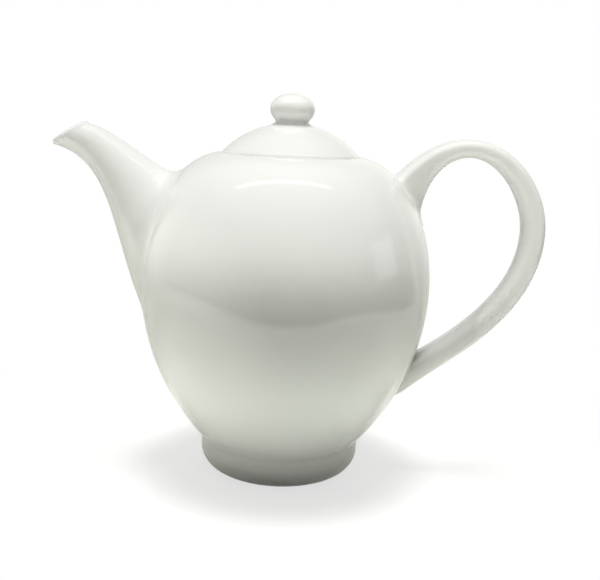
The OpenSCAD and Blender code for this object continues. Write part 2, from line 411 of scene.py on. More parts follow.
@dataclass(frozen=True)
class Steel:
    """Stainless sheet with fine brushing and a little tea stain."""

    bright: tuple[float, float, float] = (0.70, 0.70, 0.69)
    dull: tuple[float, float, float] = (0.55, 0.545, 0.53)
    stain: tuple[float, float, float] = (0.45, 0.37, 0.27)
    brushing: Brushing = Brushing.AROUND
    stain_share: float = 0.12
    stain_scale: float = 90.0
    cloud_scale: float = 55.0
    scratch_scale: float = 5200.0
    scratch_stretch: float = 0.004
    scratch_depth: float = 0.00002
    gloss: float = 0.2
    scratch_gloss: float = 0.16
    stain_gloss: float = 0.08

    def material(self, name: str) -> bpy.types.Material:
        """Build the material.

        Args:
            name: name of the material.

        Returns:
            The finished material.
        """
        made = bpy.data.materials.new(name)
        sh = Shader(made)
        spot = sh.place()
        x, y, z = sh.parts(spot)
        radius = (x * x + y * y) ** 0.5
        turn = sh.node("ShaderNodeMath", {"operation": "ARCTAN2"}, {0: y, 1: x})
        fine = z if self.brushing is Brushing.AROUND else radius
        lane = sh.node("ShaderNodeCombineXYZ", {}, {0: turn * self.scratch_stretch, 1: fine, 2: 0.0})
        scratch = sh.noise(lane, self.scratch_scale, 4.0, 0.65)
        cloud = sh.noise(spot, self.cloud_scale, 3.0)
        colour = sh.blend(scratch * 0.7 + cloud * 0.3, self.bright, self.dull)
        film = sh.noise(spot, self.stain_scale, 5.0, 0.7).below(0.36, 0.07)
        colour = sh.blend(film * self.stain_share, colour, self.stain)
        gloss = self.gloss + scratch * self.scratch_gloss + film * self.stain_gloss
        surface = sh.node(
            "ShaderNodeBsdfPrincipled",
            {},
            {
                "Base Color": colour,
                "Metallic": 1.0,
                "Roughness": gloss,
                "Normal": sh.bump(scratch, self.scratch_depth, 0.35),
            },
        )
        sh.node("ShaderNodeOutputMaterial", {}, {"Surface": surface})
        return made


# Mesh building


@dataclass(frozen=True)
class Corner:
    """A point of a turned outline, with the rounding it gets, in millimetres."""

    r: float
    z: float
    rounding: float = 0.0


def plain(points: Iterable[Vector]) -> list[Corner]:
    """Make corners without rounding of points."""
    return [Corner(*point) for point in points]


class Form:
    """A mesh in millimetres, made with the few operators that the pieces share."""

    def __init__(self) -> None:
        """Start with an empty mesh."""
        self.bm = bmesh.new()
        self.ring: list[bmesh.types.BMVert] = []

    def turn(self, outline: Sequence[Corner], steps: int) -> "Form":
        """Spin an outline about Z.

        Args:
            outline: points from the axis, or round a closed section when it keeps off the axis.
            steps: number of facets around.

        Returns:
            This form.
        """
        verts = [self.bm.verts.new((corner.r, 0.0, corner.z)) for corner in outline]
        for first, second in zip(verts, verts[1:]):
            self.bm.edges.new((first, second))
        if outline[0].r > 0.0 and outline[-1].r > 0.0:
            self.bm.edges.new((verts[-1], verts[0]))
        for vert, corner in zip(verts, outline):
            if corner.rounding > 0.0:
                bmesh.ops.bevel(
                    self.bm, geom=[vert], offset=corner.rounding, offset_type="OFFSET", segments=5,
                    profile=0.5, affect="VERTICES", material=-1, clamp_overlap=True,
                )
        bmesh.ops.spin(
            self.bm, geom=self.bm.verts[:] + self.bm.edges[:], cent=(0, 0, 0), axis=(0, 0, 1),
            dvec=(0, 0, 0), angle=2.0 * math.pi, steps=steps, use_merge=True, use_normal_flip=False,
            use_duplicate=False,
        )
        return self

    def start_ring(self, points: Sequence[Vector]) -> None:
        """Begin a loft with a closed ring of points.

        Args:
            points: the ring's points in turn.
        """
        made = bmesh.ops.create_circle(self.bm, cap_ends=False, segments=len(points), radius=1.0)
        self.ring = list(made["verts"])
        self._set(points)

    def next_ring(self, points: Sequence[Vector]) -> None:
        """Extrude the last ring on to new points.

        Args:
            points: one point for each of the last ring.
        """
        old = self.ring
        made = bmesh.ops.extrude_edge_only(self.bm, edges=self.ring_edges(old))
        fresh = {item for item in made["geom"] if isinstance(item, bmesh.types.BMVert)}
        self.ring = []
        for vert in old:
            ends = (edge.other_vert(vert) for edge in vert.link_edges)
            self.ring.append(next(end for end in ends if end in fresh))
        self._set(points)

    def start_roots(self, lines: Sequence["RootLine"]) -> list[bmesh.types.BMVert]:
        """Begin a loft with the fillet of a root.

        Args:
            lines: the fillet's lines around the piece, all of one length.

        Returns:
            The vertices of the first ring.
        """
        rings = [list(ring) for ring in zip(*(line.points for line in lines))]
        self.start_ring(rings[0])
        first = list(self.ring)
        for ring in rings[1:]:
            self.next_ring(ring)
        return first

    def _set(self, points: Sequence[Vector]) -> None:
        """Move the last ring to its points."""
        for vert, point in zip(self.ring, points):
            vert.co = point

    @staticmethod
    def ring_edges(ring: Sequence[bmesh.types.BMVert]) -> list[bmesh.types.BMEdge]:
        """Give the edges that run round a ring of vertices.

        Args:
            ring: the ring's vertices.

        Returns:
            The edges between them.
        """
        members = set(ring)
        found = []
        for vert in ring:
            found += [e for e in vert.link_edges if e.other_vert(vert) in members and e not in found]
        return found

    def finish(self, name: str, smooth: float = 40.0) -> bpy.types.Object:
        """Close the mesh and put it in the scene.

        Args:
            name: name of the piece.
            smooth: edges sharper than this many degrees stay crisp.

        Returns:
            The new object, at the origin.
        """
        bmesh.ops.remove_doubles(self.bm, verts=self.bm.verts, dist=0.0005)
        bmesh.ops.recalc_face_normals(self.bm, faces=self.bm.faces)
        bmesh.ops.scale(self.bm, vec=(MM, MM, MM), verts=self.bm.verts)
        for face in self.bm.faces:
            face.smooth = True
        for edge in self.bm.edges:
            if len(edge.link_faces) == 2 and edge.calc_face_angle(0.0) > math.radians(smooth):
                edge.smooth = False
        mesh = bpy.data.meshes.new(name)
        self.bm.to_mesh(mesh)
        self.bm.free()
        made = bpy.data.objects.new(name, mesh)
        bpy.context.scene.collection.objects.link(made)
        return made


def cut(piece: bpy.types.Object, tools: Iterable[bpy.types.Object]) -> None:
    """Cut tools out of a piece and throw the tools away.

    Args:
        piece: object whose mesh is replaced by the cut one.
        tools: closed objects to take away.
    """
    for tool in tools:
        modifier = piece.modifiers.new("cut", "BOOLEAN")
        modifier.operation = "DIFFERENCE"
        modifier.solver = "EXACT"
        modifier.object = tool
        bpy.context.view_layer.update()
        evaluated = piece.evaluated_get(bpy.context.evaluated_depsgraph_get())
        fresh = bpy.data.meshes.new_from_object(evaluated)
        piece.modifiers.clear()
        old = piece.data
        piece.data = fresh
        fresh.name = old.name
        bpy.data.meshes.remove(old)
        bpy.data.objects.remove(tool)


def drill(name: str, radius: float, length: float, place: Matrix) -> bpy.types.Object:
    """Make a round cutting tool.

    Args:
        name: name of the tool.
        radius: its radius in millimetres.
        length: its length in millimetres.
        place: turn and place in millimetres, the tool lying along Z.

    Returns:
        The tool's object.
    """
    form = Form()
    bmesh.ops.create_cone(
        form.bm, cap_ends=True, segments=32, radius1=radius, radius2=radius, depth=length, matrix=place
    )
    return form.finish(name)


def settle(
    piece: bpy.types.Object, body: Body, slot: Slot, finish: bpy.types.Material, *nodes: str
) -> None:
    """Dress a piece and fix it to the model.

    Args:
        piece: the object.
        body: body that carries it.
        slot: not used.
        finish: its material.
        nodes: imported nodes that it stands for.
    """
    piece.data.materials.clear()
    piece.data.materials.append(finish)
    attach(piece, body.value)
    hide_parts(*nodes)
    LOG.info("%s rides on %s with %d faces", piece.name, body.value, len(piece.data.polygons))


# Pieces


@dataclass(frozen=True)
class PotBody:
    """The cast pot: belly, shoulder, ledge in the mouth, foot ring and strainer."""

    belly_r: float = 66.0
    belly_z: float = 88.5
    rim_z: float = 147.0
    wall: float = 4.4
    foot_r: float = 37.0
    foot_h: float = 16.2
    foot_round: float = 10.1
    stand_w: float = 4.2
    well_depth: float = 6.4
    floor_z: float = 12.4
    throat_r: float = 26.5
    ledge_r: float = 31.0
    ledge_z: float = 143.8
    ledge_t: float = 4.4
    rim_r: float = 32.6
    strain_r: float = 3.0
    strain_pitch: float = 9.0
    strain_out: float = 0.9
    drill_l: float = 40.0
    lean: float = 44.7
    rim_slope: float = 9.5
    throat_slope: float = 9.0
    foot_pull: float = 0.226
    low_pull: float = 0.473
    high_pull: float = 0.567
    rim_pull: float = 0.295
    throat_pull: float = 0.4
    bore_high_pull: float = 0.52
    bore_low_pull: float = 0.47
    bore_foot_pull: float = 0.25
    bore_foot_walls: float = 1.25
    steps: int = 160

    @property
    def bore_foot_r(self) -> float:
        """Radius of the bore at the top of the foot."""
        return self.foot_r - self.bore_foot_walls * self.wall

    def low_skin(self) -> Curve:
        """Give the outside from the foot to the belly.

        Returns:
            Four control points as (r, z).
        """
        rise = self.belly_z - self.foot_h
        lean = math.radians(self.lean)
        pull = self.foot_pull * rise
        return (
            Vector((self.foot_r, self.foot_h)),
            Vector((self.foot_r + pull * math.sin(lean), self.foot_h + pull * math.cos(lean))),
            Vector((self.belly_r, self.belly_z - self.low_pull * rise)),
            Vector((self.belly_r, self.belly_z)),
        )

    def high_skin(self) -> Curve:
        """Give the outside from the belly to the rim.

        Returns:
            Four control points as (r, z).
        """
        rise = self.rim_z - self.belly_z
        slope = math.radians(self.rim_slope)
        pull = self.rim_pull * rise
        return (
            Vector((self.belly_r, self.belly_z)),
            Vector((self.belly_r, self.belly_z + self.high_pull * rise)),
            Vector((self.rim_r + pull * math.cos(slope), self.rim_z - pull * math.sin(slope))),
            Vector((self.rim_r, self.rim_z)),
        )

    def high_bore(self) -> Curve:
        """Give the inside from the throat to the belly.

        Returns:
            Four control points as (r, z).
        """
        rise = self.rim_z - self.belly_z
        slope = math.radians(self.throat_slope)
        pull = self.throat_pull * rise
        top = self.ledge_z - self.ledge_t
        return (
            Vector((self.throat_r, top)),
            Vector((self.throat_r + pull * math.cos(slope), top - pull * math.sin(slope))),
            Vector((self.belly_r - self.wall, self.belly_z + self.bore_high_pull * rise)),
            Vector((self.belly_r - self.wall, self.belly_z)),
        )

    def low_bore(self) -> Curve:
        """Give the inside from the belly to the foot.

        Returns:
            Four control points as (r, z).
        """
        rise = self.belly_z - self.foot_h
        lean = math.radians(self.lean)
        pull = self.bore_foot_pull * rise
        end = self.bore_foot_r
        return (
            Vector((self.belly_r - self.wall, self.belly_z)),
            Vector((self.belly_r - self.wall, self.belly_z - self.bore_low_pull * rise)),
            Vector((end + pull * math.sin(lean), self.foot_h + pull * math.cos(lean))),
            Vector((end, self.foot_h)),
        )

    def skin_r(self, z: float) -> float:
        """Give the outer radius at a height.

        Args:
            z: the height.

        Returns:
            The radius of the skin there.
        """
        curve = self.low_skin() if z < self.belly_z else self.high_skin()
        t = halve(lambda s: bezier(curve, s).y < z, 0.0, 1.0)
        return bezier(curve, t).x

    def outside(self, point: Vector) -> float:
        """Give how far a point lies outside the pot, level with it."""
        return math.hypot(point.x, point.y) - self.skin_r(point.z)

    def normal(self, point: Vector) -> Vector:
        """Give the outward direction of the skin next to a point.

        Args:
            point: a point on or near the skin.

        Returns:
            The direction, of length 1.
        """
        slope = (self.skin_r(point.z + 0.2) - self.skin_r(point.z - 0.2)) / 0.4
        flat = Vector((point.x, point.y, 0.0)).normalized()
        return Vector((flat.x, flat.y, -slope)).normalized()

    def outline(self) -> list[Corner]:
        """Give the turned section from under the foot, up the outside and down the inside.

        Returns:
            The section's corners.
        """
        stand_out = self.foot_r - self.foot_round
        stand_in = stand_out - self.stand_w
        points = [
            Corner(0.0, self.well_depth),
            Corner(stand_in - 2.5, self.well_depth, 1.6),
            Corner(stand_in - 0.6, 0.6, 0.4),
            Corner(stand_in, 0.0, 0.3),
        ]
        points += plain(arc((stand_out, self.foot_round), self.foot_round, -90.0, 0.0, 12))
        skin = along(self.low_skin(), 60)
        points.append(Corner(*skin[0], 2.2))
        points += plain(skin[4:])
        points += plain(along(self.high_skin(), 60, 1)[:-1])
        points += [
            Corner(self.rim_r - 0.3, self.rim_z, 0.25),
            Corner(self.ledge_r, self.rim_z - 0.1, 0.7),
            Corner(self.ledge_r, self.ledge_z, 0.5),
            Corner(self.throat_r, self.ledge_z, 0.8),
            Corner(*self.high_bore()[0], 1.2),
        ]
        points += plain(along(self.high_bore(), 36, 3))
        points += plain(along(self.low_bore(), 36, 1))
        points.append(Corner(self.bore_foot_r - 2.6, self.floor_z, 1.6))
        points.append(Corner(0.0, self.floor_z - 0.6))
        return points

    def build(self, strain_z: float) -> None:
        """Make the pot and its strainer holes.

        Args:
            strain_z: height of the middle strainer hole.
        """
        piece = Form().turn(self.outline(), self.steps).finish("Pot_body")
        tools = []
        for i in range(7):
            step = 0.0 if i == 0 else self.strain_pitch
            angle = math.radians(60.0 * i)
            spot = Vector((-self.belly_r * self.strain_out, step * math.cos(angle), strain_z))
            spot.z += step * math.sin(angle)
            place = Matrix.Translation(spot) @ Matrix.Rotation(math.radians(90.0), 4, "Y")
            tools.append(drill("drill", self.strain_r, self.drill_l, place))
        cut(piece, tools)
        # The pooled rings at the foot crease and the ledge corner are pooled glaze tint with painted
        # shade
        glaze = Glaze(
            thin_rings=((self.throat_r, self.ledge_z, 1.4),),
            pooled_and_shade_rings=((self.foot_r + 0.4, self.foot_h, 2.4), (self.ledge_r, self.ledge_z, 1.4)),
            bare_below=0.9,
        )
        finish = glaze.material("Glaze pot")
        settle(piece, Body.POT, Slot.PORCELAIN, finish, "pot_foot", "pot_belly", "pot_shoulder")


@dataclass(frozen=True)
class Root:
    """How a luted piece runs out on to the pot in a small fillet, in millimetres."""

    climb: float
    spread: float
    rings: int = 7
    longest: float = 0.12
    tuck: tuple[float, float] = (0.9, 0.5)

    def toward(self, other: "Root", share: float) -> "Root":
        """Give the root that lies part of the way to another."""
        climb = self.climb + (other.climb - self.climb) * share
        return Root(climb, self.spread + (other.spread - self.spread) * share)


@dataclass(frozen=True)
class Spout:
    """The hollow spout, lofted between its lower and upper edge curves."""

    pot: PotBody
    root_half: float = 21.0
    lip_half: float = 6.6
    root_wall: float = 3.4
    lip_wall: float = 2.5
    lip_reach: float = 40.2
    heel_reach: float = 24.4
    heel_rise: float = 9.8
    low_start: float = 28.0
    low_sunk: float = 4.0
    low_knee: tuple[float, float] = (14.5, 3.5)
    low_neck: tuple[float, float] = (8.5, 6.5)
    top_start: float = 17.0
    top_sunk: float = 11.0
    top_knee: tuple[float, float] = (2.0, 5.0)
    top_neck: tuple[float, float] = (16.5, 9.0)
    lip_bulge: float = 0.85
    low_root: Root = Root(5.0, 3.4)
    top_root: Root = Root(12.0, 7.4)
    width_pulls: tuple[float, float] = (4.0, 1.0)
    bore_sunk: float = 0.8
    strain_drop: float = 2.0
    turns: int = 72
    steps: int = 46

    def low_edge(self) -> Curve:
        """Give the lower edge on the plane y = 0, as (x, z).

        Returns:
            Four control points.
        """
        pot = self.pot
        start = pot.belly_z - self.low_start
        return (
            Vector((self.low_sunk - pot.skin_r(start), start)),
            Vector((-pot.belly_r - self.low_knee[0], pot.belly_z + self.low_knee[1])),
            Vector((-pot.belly_r - self.low_neck[0], pot.rim_z - self.low_neck[1])),
            Vector((-pot.belly_r - self.lip_reach, pot.rim_z)),
        )

    def top_edge(self) -> Curve:
        """Give the upper edge on the plane y = 0, as (x, z).

        Returns:
            Four control points.
        """
        pot = self.pot
        start = pot.rim_z - self.top_start
        return (
            Vector((self.top_sunk - pot.skin_r(start), start)),
            Vector((self.top_knee[0] - pot.belly_r, pot.rim_z - self.top_knee[1])),
            Vector((-pot.belly_r - self.top_neck[0], pot.rim_z + self.top_neck[1])),
            Vector((-pot.belly_r - self.heel_reach, pot.rim_z + self.heel_rise)),
        )

    def wall(self, s: float) -> float:
        """Give the wall thickness along the spout."""
        return self.root_wall + (self.lip_wall - self.root_wall) * s

    def point(self, s: float, angle: float, grow: float) -> Vector:
        """Give a point of the spout's skin.

        Args:
            s: place along the spout, 0 inside the pot and 1 at the mouth.
            angle: turn around the section in radians, 0 on the upper edge.
            grow: how far the section is widened.

        Returns:
            The point.
        """
        low, top = bezier(self.low_edge(), s), bezier(self.top_edge(), s)
        middle, reach = (low + top) / 2.0, (top - low) / 2.0
        root, lip = self.root_half, self.lip_half
        widths = (root, root - self.width_pulls[0], lip + self.width_pulls[1], lip)
        half = bezier([Vector((w, 0.0)) for w in widths], s).x + grow
        reach = reach * ((reach.length + grow) / reach.length) * math.cos(angle)
        return Vector((middle.x + reach.x, half * math.sin(angle), middle.y + reach.y))

    def fillet(self, angle: float) -> Root:
        """Give the fillet of one line, wider above than below."""
        return self.low_root.toward(self.top_root, (1.0 + math.cos(angle)) / 2.0)

    def root(self, angle: float, grow: float) -> float:
        """Give the place where one line of the skin leaves the pot."""
        return halve(lambda s: self.pot.outside(self.point(s, angle, grow)) < 0.0, 0.0, 0.7)

    def inner_root(self, angle: float, out: float) -> float:
        """Give the place where one line of the bore comes out of the pot this far."""
        return halve(lambda s: self.pot.outside(self.point(s, angle, -self.wall(s))) < out, 0.0, 0.7)

    def strain_z(self) -> float:
        """Give the height of the middle strainer hole, a little under the middle of the bore's root.

        Returns:
            The height.
        """
        heights = []
        for angle in (0.0, math.pi):
            s = self.inner_root(angle, 0.2)
            heights.append(self.point(s, angle, -self.wall(s)).z)
        return sum(heights) / 2.0 - self.strain_drop

    def build(self) -> None:
        """Make the spout: fillet, outside, lip and bore in one closed skin."""
        angles = [2.0 * math.pi * j / self.turns for j in range(self.turns)]
        lines = []
        for a in angles:
            def skin(s: float, grow: float, angle: float = a) -> Vector:
                """Give this line of the spout."""
                return self.point(s, angle, grow)
            fillet = self.fillet(a)
            roots = self.root(a, 0.0), self.root(a, fillet.spread)
            lines.append(root_line(self.pot, fillet, skin, *roots, 1.0))
        form = Form()
        first = form.start_roots(lines)
        for i in range(1, self.steps + 1):
            form.next_ring([
                self.point(line.leaves + (1.0 - line.leaves) * i / self.steps, a, 0.0)
                for line, a in zip(lines, angles)
            ])
        mouth = self.top_edge()[3] - self.low_edge()[3]
        facing = Vector((-mouth.y, 0.0, mouth.x)).normalized()
        for i in range(1, 8):
            bend = math.radians(22.5 * i)
            inset = self.lip_wall * (1.0 - math.cos(bend)) / 2.0
            lift = facing * (self.lip_bulge * self.lip_wall * math.sin(bend))
            form.next_ring([self.point(1.0, a, -inset) + lift for a in angles])
        ends = [self.inner_root(a, -self.bore_sunk) for a in angles]
        for i in range(self.steps + 1):
            places = [1.0 - (1.0 - end) * i / self.steps for end in ends]
            form.next_ring([self.point(s, a, -self.wall(s)) for s, a in zip(places, angles)])
        bmesh.ops.bridge_loops(form.bm, edges=form.ring_edges(first) + form.ring_edges(form.ring))
        piece = form.finish("Spout", 60.0)
        settle(piece, Body.POT, Slot.PORCELAIN, Glaze().material("Glaze spout"), "spout")


@dataclass(frozen=True)
class RootLine:
    """One line of a fillet on the pot, and the place where it joins its piece."""

    points: list[Vector]
    leaves: float


def root_line(
    pot: PotBody, fillet: Root, skin: Callable[[float, float], Vector], bare: float, grown: float,
    onward: float,
) -> RootLine:
    """Run one line of a luted piece out on to the pot.

    Args:
        pot: the pot.
        fillet: how far the line climbs the piece and spreads on the pot.
        skin: the piece's line as a function of its place and its growth.
        bare: place where the plain line leaves the pot.
        grown: place where the widened line leaves it.
        onward: end of the piece's parameter that lies away from the pot.

    Returns:
        The points from just inside the pot to the piece, and where they join it.
    """
    corner = skin(bare, 0.0)
    side = 1.0 if onward > bare else -1.0
    step = 0.004
    speed = (skin(bare + step * side, 0.0) - corner).length / step
    leaves = bare + side * min(fillet.climb / speed, fillet.longest)
    start, stop = skin(grown, fillet.spread), skin(leaves, 0.0)
    normal = pot.normal(start)
    knee = corner - normal * (corner - start).dot(normal)
    away = (start - knee).normalized()
    points = [start + away * fillet.tuck[0] - normal * fillet.tuck[1]]
    for i in range(fillet.rings + 1):
        t = i / fillet.rings
        points.append(start * ((1 - t) ** 2) + knee * (2 * t * (1 - t)) + stop * (t * t))
    return RootLine(points, leaves)


@dataclass(frozen=True)
class Handle:
    """The solid ear-shaped strap with its two roots."""

    pot: PotBody
    reach: float = 46.4
    drop: float = 31.0
    loop_rise: float = 30.0
    tail_rise: float = 28.8
    width: float = 16.0
    top_t: float = 8.2
    grip_t: float = 10.2
    square: float = 2.8
    root_clay: float = 13.0
    tail_clay: float = 1.5
    tail_heel: float = 1.2
    tail_end: float = 1.1
    head_drop: float = 17.5
    head_sunk: float = 10.0
    loop_out: float = 13.0
    loop_pull: float = 27.0
    grip_pull: float = 32.0
    tail_out: float = 16.5
    tail_pull: float = 17.2
    tail_sunk: float = 3.6
    head_run: float = 0.22
    tail_run: float = 0.14
    grip_from: float = 0.18
    grip_run: float = 0.25
    head_flare: float = 0.25
    tail_flare: float = 0.5
    turns: int = 56
    steps: int = 110
    head: Root = Root(3.6, 2.6)
    tail_inner: Root = Root(2.0, 1.2)
    tail_outer: Root = Root(0.8, 0.3)

    def middle(self, s: float) -> Vector:
        """Give the middle line on the plane y = 0, as (x, z).

        Args:
            s: place along the strap, 0 at the upper root and 1 at the lower one.

        Returns:
            The point; past 1 the line runs straight on into the pot.
        """
        pot = self.pot
        far = Vector((pot.belly_r + self.reach, pot.rim_z - self.drop))
        if s < 0.5:
            start = pot.rim_z - self.head_drop
            loop = (
                Vector((pot.skin_r(start) - self.head_sunk, start)),
                Vector((pot.belly_r + self.loop_out, pot.rim_z + self.loop_rise)),
                far + Vector((0.0, self.loop_pull)),
                far,
            )
            return bezier(loop, 2.0 * s)
        tail = pot.foot_h + self.tail_rise
        grip = (
            far,
            far - Vector((0.0, self.grip_pull)),
            Vector((pot.belly_r + self.tail_out, tail + self.tail_pull)),
            Vector((pot.skin_r(tail) - self.tail_sunk, tail)),
        )
        if s > 1.0:
            # The cubic leaves its end at three times its last pull, and s runs at half its pace
            return grip[3] + (grip[3] - grip[2]) * (6.0 * (s - 1.0))
        return bezier(grip, 2.0 * s - 1.0)

    def point(self, s: float, angle: float, grow: float) -> Vector:
        """Give a point of the strap's skin.

        Args:
            s: place along the strap, 0 at the upper root and 1 at the lower one.
            angle: turn around the section in radians, 0 on the outer face.
            grow: how far the section is widened.

        Returns:
            The point.
        """
        middle = self.middle(s)
        run = self.middle(s + 0.001) - self.middle(max(0.0, s - 0.001))
        side = Vector((-run.y, run.x)).normalized()
        share = ease((s - self.grip_from) / self.grip_run)
        half = (self.top_t + (self.grip_t - self.top_t) * share) / 2.0
        under = self.root_clay * max(0.0, 1.0 - s / self.head_run) ** 3
        tail = min(1.0, max(0.0, 1.0 - (1.0 - s) / self.tail_run)) ** 2
        inner = math.cos(angle) < 0.0
        thick = half + self.tail_clay * tail + (under if inner else self.tail_heel * tail) + grow
        flare = self.head_flare * under + self.tail_flare * self.tail_clay * tail
        wide = self.width / 2.0 + flare + grow
        power = 2.0 / self.square
        across = math.copysign(abs(math.cos(angle)) ** power, math.cos(angle)) * thick
        out = math.copysign(abs(math.sin(angle)) ** power, math.sin(angle)) * wide
        return Vector((middle.x + side.x * across, out, middle.y + side.y * across))

    def tail_root(self, angle: float) -> Root:
        """Give the lower root's fillet, which is smallest under the outer face."""
        return self.tail_inner.toward(self.tail_outer, (1.0 + math.cos(angle)) / 2.0)

    def root(self, angle: float, grow: float, inside: float, outside: float) -> float:
        """Give the place where one line of the strap leaves the pot, between two places."""
        return halve(lambda s: self.pot.outside(self.point(s, angle, grow)) < 0.0, inside, outside)

    def build(self) -> None:
        """Make the strap and its root fillets."""
        angles = [2.0 * math.pi * (j + 0.5) / self.turns for j in range(self.turns)]
        heads, tails = [], []
        for a in angles:
            def skin(s: float, grow: float, angle: float = a) -> Vector:
                """Give this line of the strap."""
                return self.point(s, angle, grow)
            ends = [self.root(a, grow, 0.0, 0.3) for grow in (0.0, self.head.spread)]
            heads.append(root_line(self.pot, self.head, skin, *ends, 0.5))
            low = self.tail_root(a)
            ends = [self.root(a, grow, self.tail_end, 0.7) for grow in (0.0, low.spread)]
            tails.append(root_line(self.pot, low, skin, *ends, 0.5))
        form = Form()
        first = form.start_roots(heads)
        for i in range(1, self.steps):
            share = i / self.steps
            form.next_ring([
                self.point(head.leaves + (tail.leaves - head.leaves) * share, a, 0.0)
                for head, tail, a in zip(heads, tails, angles)
            ])
        for i in reversed(range(len(tails[0].points))):
            form.next_ring([line.points[i] for line in tails])
        for ring in (first, form.ring):
            bmesh.ops.contextual_create(form.bm, geom=form.ring_edges(ring))
        piece = form.finish("Handle", 60.0)
        settle(piece, Body.POT, Slot.PORCELAIN, Glaze().material("Glaze handle"), "handle")


@dataclass(frozen=True)
class Lid:
    """The domed lid with its skirt, its vent and its button knob."""

    edge_r: float = 30.8
    seat_z: float = 144.6
    edge_h: float = 2.8
    dome_r: float = 41.56
    wall: float = 4.0
    skirt_r: float = 23.6
    skirt_t: float = 3.0
    skirt_h: float = 8.0
    vent_r: float = 1.6
    vent_out: float = 15.5
    knob_r: float = 10.0
    neck_r: float = 7.6
    neck_h: float = 2.0
    low_h: float = 5.0
    top_h: float = 6.8
    edge_round: float = 0.8
    pad_margin: float = 0.4
    flare_w: float = 2.6
    crown_swell: float = 0.56
    steps: int = 128
    knob_steps: int = 96

    @property
    def dome_z(self) -> float:
        """Height of the dome's centre."""
        rim = self.edge_r - self.edge_round
        return self.seat_z + self.edge_h + self.edge_round - math.sqrt(self.dome_r ** 2 - rim ** 2)

    @property
    def pad_z(self) -> float:
        """Height of the flat pad under the knob."""
        return self.dome_z + math.sqrt(self.dome_r ** 2 - (self.neck_r + self.pad_margin) ** 2)

    def outline(self) -> list[Corner]:
        """Give the lid's section from the inside of the dome to its top.

        Returns:
            The section's corners.
        """
        inner = self.dome_r - self.wall
        skirt_in = self.skirt_r - self.skirt_t
        foot = self.seat_z - self.skirt_h
        root = math.degrees(math.acos(skirt_in / inner))
        rim = math.degrees(math.acos((self.edge_r - self.edge_round) / self.dome_r))
        pad = math.degrees(math.acos((self.neck_r + self.pad_margin) / self.dome_r))
        points = [Corner(0.0, self.dome_z + inner)]
        points += plain(arc((0.0, self.dome_z), inner, 90.0, root, 24)[1:-1])
        points += [
            Corner(skirt_in, self.dome_z + inner * math.sin(math.radians(root)), 1.0),
            Corner(skirt_in, foot, 1.3),
            Corner(self.skirt_r, foot, 1.3),
            Corner(self.skirt_r, self.seat_z, 0.7),
            Corner(self.edge_r, self.seat_z, 0.6),
            Corner(self.edge_r, self.seat_z + self.edge_h + 0.5, 1.5),
        ]
        points += plain(arc((0.0, self.dome_z), self.dome_r, rim, pad, 40)[1:])
        points.append(Corner(0.0, self.pad_z))
        return points

    def knob_outline(self) -> list[Corner]:
        """Give the knob's section from its pad to its crown.

        Returns:
            The section's corners.
        """
        neck = self.pad_z + self.neck_h
        wide = neck + self.low_h
        flare = self.neck_r + self.flare_w
        flare_z = self.dome_z + math.sqrt(self.dome_r ** 2 - flare ** 2)
        points = [Corner(0.0, self.pad_z), Corner(flare, flare_z - 0.12)]
        swell, neck_in = self.crown_swell, self.neck_r - 0.1
        stretches = (
            (8, 0, (flare - 0.1, flare_z), (self.neck_r + 0.8, flare_z + 0.8),
             (self.neck_r, flare_z + 1.2), (neck_in, neck - 0.7)),
            (16, 0, (self.neck_r, neck), (self.knob_r - 0.9, neck + 1.6),
             (self.knob_r, wide - 2.2), (self.knob_r, wide)),
            (24, 1, (self.knob_r, wide), (self.knob_r, wide + self.top_h * swell),
             (self.knob_r * swell, wide + self.top_h), (0.0, wide + self.top_h)),
        )
        for count, first, *pulls in stretches:
            points += plain(along([Vector(pull) for pull in pulls], count, first))
        return points

    def build(self) -> None:
        """Make the lid and the knob."""
        piece = Form().turn(self.outline(), self.steps).finish("Lid")
        place = Matrix.Translation((0.0, self.vent_out, self.pad_z))
        cut(piece, [drill("drill", self.vent_r, 30.0, place)])
        # The pooled ring round the knob's neck is pooled glaze tint with painted shade under the knob
        glaze = Glaze(
            thin_rings=((self.skirt_r - 1.5, self.seat_z - self.skirt_h, 2.0),),
            pooled_and_shade_rings=((self.neck_r + 1.4, self.pad_z, 1.6),),
        )
        settle(piece, Body.LID, Slot.PORCELAIN, glaze.material("Glaze lid"), "lid")
        knob = Form().turn(self.knob_outline(), self.knob_steps).finish("Lid_knob")
        # The pooled ring at the knob's neck is pooled glaze tint with painted shade
        glaze = Glaze(pooled_and_shade_rings=((self.neck_r + 0.6, self.pad_z + 1.0, 1.8),))
        settle(knob, Body.LID, Slot.PORCELAIN, glaze.material("Glaze knob"), "lid_knob")


